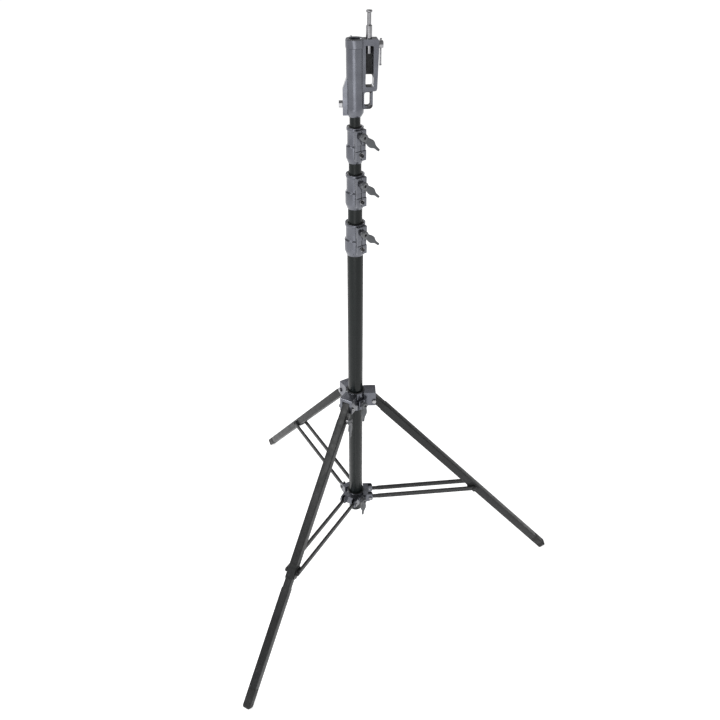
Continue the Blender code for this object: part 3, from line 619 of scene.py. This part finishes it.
def make_legs():
    """Square tubes; the front one slides in a sleeve with a welded lock boss."""
    for side, body in LEG_BODIES.items():
        place, seam, _ = leg_line(side)
        work = bmesh.new()
        if side == "front":
            stations = ((LEG_TOP, SLEEVE_IN_HUB), (HUB_END, SLEEVE_IN_HUB),
                        (SHOULDER_END, SLEEVE_HALF), (SLEEVE_END, SLEEVE_HALF))
            square_tube(work, stations, SLEEVE_WALL, place)
            rounded_bar(work, (0.029, -0.0095, 0.0128), (0.055, 0.0095, 0.0173), 0.0012, place)
            new_piece("leg_front_sleeve_fine", work, LEG, body, ["leg_front_sleeve"])
            work = bmesh.new()
            body = "leveling_leg"
            stations = ((LEVEL_LEG_TOP, LEVEL_NECK_HALF), (LEVEL_NECK_END, LEVEL_NECK_HALF),
                        (LEVEL_WIDE_FROM, LEG_HALF), (seam - GAP, LEG_HALF))
        else:
            stations = ((LEG_TOP, LEG_IN_HUB), (HUB_END, LEG_IN_HUB), (SHOULDER_END, LEG_HALF),
                        (seam - GAP, LEG_HALF))
        square_tube(work, stations, LEG_WALL, place)
        new_piece("leg_%s_fine" % side, work, LEG, body, ["leg_%s_tube" % side])


def make_feet():
    """Rubber end plugs: a thin seam, flush rounded sides, grooves and a domed end."""
    stations = ((-0.012, 0.0121), (0.0002, 0.0122), (0.0003, 0.0136), (0.0010, 0.0141),
                (0.0430, 0.0141), (0.0436, 0.0137), (0.0450, 0.0137), (0.0456, 0.0141),
                (0.0490, 0.0141),
                (0.0496, 0.0137), (0.0510, 0.0137), (0.0516, 0.0141), (0.0610, 0.0140),
                (0.0655, 0.0130), (0.0680, 0.0106), (0.0690, 0.0070))
    for side in LEG_BODIES:
        place, seam, _ = leg_line(side)
        body = "leveling_leg" if side == "front" else LEG_BODIES[side]
        work = bmesh.new()
        rings = [square_ring(seam + distance, half, 0.0034, 6) for distance, half in stations]
        loft(work, rings, place)
        everything = work.verts[:] + work.edges[:] + work.faces[:]
        bmesh.ops.bisect_plane(work, geom=everything, plane_co=(0, 0, 0.0001), plane_no=(0, 0, -1),
                               clear_outer=True)
        open_edges = [edge for edge in work.edges if edge.is_boundary]
        bmesh.ops.holes_fill(work, edges=open_edges, sides=0)
        new_piece("foot_%s_fine" % side, work, RUBBER, body, ["foot_" + side], 40.0)


# ---- struts -------------------------------------------------------------------
def channel_section(distance, centre, half, deep):
    """A U section, open below, with rounded shoulders; Z is across the bar, Y is its height."""
    wall = 0.0013
    points = [(-half, -deep), (-half, deep - 0.0016), (-half + 0.0005, deep - 0.0005),
              (-half + 0.0016, deep), (half - 0.0016, deep), (half - 0.0005, deep - 0.0005),
              (half, deep - 0.0016), (half, -deep), (half - wall, -deep),
              (half - wall, deep - wall), (wall - half, deep - wall), (wall - half, -deep)]
    return [(distance, y, centre + z) for z, y in points]


def pivot_end(work, place, centre):
    """A round eye round the hub pin, with a flat web that runs into the channel."""
    eye = place @ Matrix.Translation((0, 0, centre))
    ring = [(0.0040, STRUT_HALF), (0.0069, STRUT_HALF), (0.0069, -STRUT_HALF),
            (0.0040, -STRUT_HALF)]
    turn(work, rounded(ring, 0.0006), eye, True, 40)
    rounded_bar(work, (0.0045, -0.0066, centre - 0.0038), (0.0200, 0.0066, centre + 0.0038), 0.0006,
                place)


def riveted_end(work, place, length, centre, sign):
    """A round end with a domed rivet on its outer face."""
    end = place @ Matrix.Translation((length, 0, centre))
    disc = [(0, STRUT_HALF), (STRUT_DEEP, STRUT_HALF), (STRUT_DEEP, -STRUT_HALF), (0, -STRUT_HALF)]
    turn(work, rounded(disc, 0.0006), end, False, 40)
    dome = [(0, 0.0066), (0.0030, 0.0064), (0.0052, 0.0054), (0.0058, 0.0040), (0, 0.0040)]
    turn(work, [(radius, height * sign) for radius, height in dome], end, steps=28)


def make_struts():
    """Pressed channels with a necked, round pivot end and a riveted outer end."""
    for side in LEG_BODIES:
        entry = joint("strut_%s_fold" % side)
        hinge = Vector(joint("leg_%s_fold" % side)["pos_m"])
        span = hinge + leg_line(side)[2] * STRUT_AT - Vector(entry["pos_m"])
        place = axis_frame(entry, span)
        up = 1 if (place.to_3x3() @ Vector((0, 1, 0))).z > 0 else -1
        length = span.length
        stations = ((0.012, STRUT_NECK_DEEP), (0.024, STRUT_NECK_DEEP), (0.034, STRUT_DEEP),
                    (length - 0.001, STRUT_DEEP))
        for letter in "ab":
            node = "strut_%s_%s" % (side, letter)
            sign = 1 if (place.inverted() @ middle_of(node)).z > 0 else -1
            centre = sign * STRUT_OFFSET
            work = bmesh.new()
            sections = [channel_section(distance, centre, STRUT_HALF, deep)
                        for distance, deep in stations]
            sections = [[(x, y * up, z) for x, y, z in section] for section in sections]
            loft(work, sections, place)
            pivot_end(work, place, centre)
            riveted_end(work, place, length, centre, sign)
            new_piece(node + "_fine", work, LEG, "struts_" + side, [node])


# ---- stage --------------------------------------------------------------------
def make_stage():
    mesh = bpy.data.meshes.new("floor")
    work = bmesh.new()
    bmesh.ops.create_grid(work, x_segments=1, y_segments=1, size=60.0)
    work.to_mesh(mesh)
    work.free()
    floor = bpy.data.objects.new("floor", mesh)
    bpy.context.scene.collection.objects.link(floor)
    floor.location = (0, 0, -0.0005)
    pale = Nodes("floor_paint")
    pale.colour(pale.mix(pale.noise(3.0), (0.86, 0.86, 0.86), (0.88, 0.88, 0.88)))
    pale.shader.inputs["Roughness"].default_value = 0.9
    pale.shader.inputs["Specular IOR Level"].default_value = 0.1
    pale.shader.inputs["Emission Color"].default_value = (1.0, 1.0, 1.0, 1.0)
    pale.shader.inputs["Emission Strength"].default_value = 0.80
    mesh.materials.append(pale.material)
    world = bpy.data.worlds.new("studio")
    bpy.context.scene.world = world
    world.use_nodes = True
    sky = world.node_tree.nodes["Background"]
    sky.inputs["Color"].default_value = (1.0, 1.0, 1.0, 1.0)
    sky.inputs["Strength"].default_value = 0.30
    area_light("front", (-0.75, -4.4, 0.9), 26.0, 2.6)
    area_light("key", (-2.2, -1.6, 3.4), 55.0, 1.8)
    area_light("back", (-1.2, 3.2, 2.6), 34.0, 2.4)


def area_light(name, position, power, size):
    data = bpy.data.lights.new(name, "AREA")
    data.energy = power
    data.shape = "DISK"
    data.size = size
    lamp = bpy.data.objects.new(name, data)
    bpy.context.scene.collection.objects.link(lamp)
    lamp.location = COLUMN + Vector(position)
    aim = COLUMN + Vector((0, 0, 1.0)) - lamp.location
    lamp.rotation_euler = aim.to_track_quat("-Z", "Y").to_euler()


def make_camera():
    data = bpy.data.cameras.new("camera")
    data.lens = LENS_MM
    data.sensor_width = 36.0
    camera = bpy.data.objects.new("camera", data)
    bpy.context.scene.collection.objects.link(camera)
    turn = Matrix.Rotation(VIEW_TURN, 3, "Z")
    camera.location = COLUMN + turn @ VIEW_OFFSET
    aim = Matrix.Rotation(VIEW_TURN, 4, "Z") @ Matrix.Rotation(math.pi / 2 - VIEW_PITCH, 4, "X")
    camera.rotation_euler = (aim @ Matrix.Rotation(VIEW_ROLL, 4, "Z")).to_euler()
    bpy.context.scene.camera = camera


bpy.context.scene.view_settings.view_transform = "Standard"
make_stage()
make_camera()
dress_cad()
make_tubes()
make_collars()
make_collar_bolts()
make_levers()
make_pin()
make_bushings()
make_legs()
make_feet()
make_struts()
